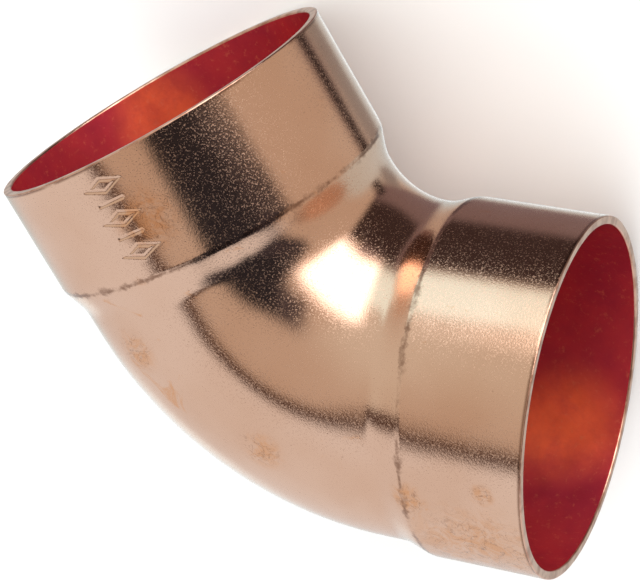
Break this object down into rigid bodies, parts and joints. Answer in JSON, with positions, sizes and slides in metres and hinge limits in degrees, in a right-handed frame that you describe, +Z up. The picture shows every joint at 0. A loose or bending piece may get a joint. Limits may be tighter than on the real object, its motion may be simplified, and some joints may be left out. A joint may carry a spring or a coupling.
{
  "type": "pipe elbow",
  "caption": "Copper pipe elbow that turns a round drainage tube through 60 degrees, with a plain solder cup at each end.",
  "frame": {"origin": "on the surface that the elbow lies on, under the middle of its length and of its depth", "axes": "+Z is up and square to the plane that the centreline bends in, +X runs from mouth to mouth along the elbow's length, and the throat and both mouths turn towards -Y"},
  "size_m": [0.0836, 0.0532, 0.0435],
  "materials": {
    "copper": "satin copper, bright outside and red inside"
  },
  "bodies": {
    "root": {"elbow_body": "copper"}
  },
  "joints": []
}
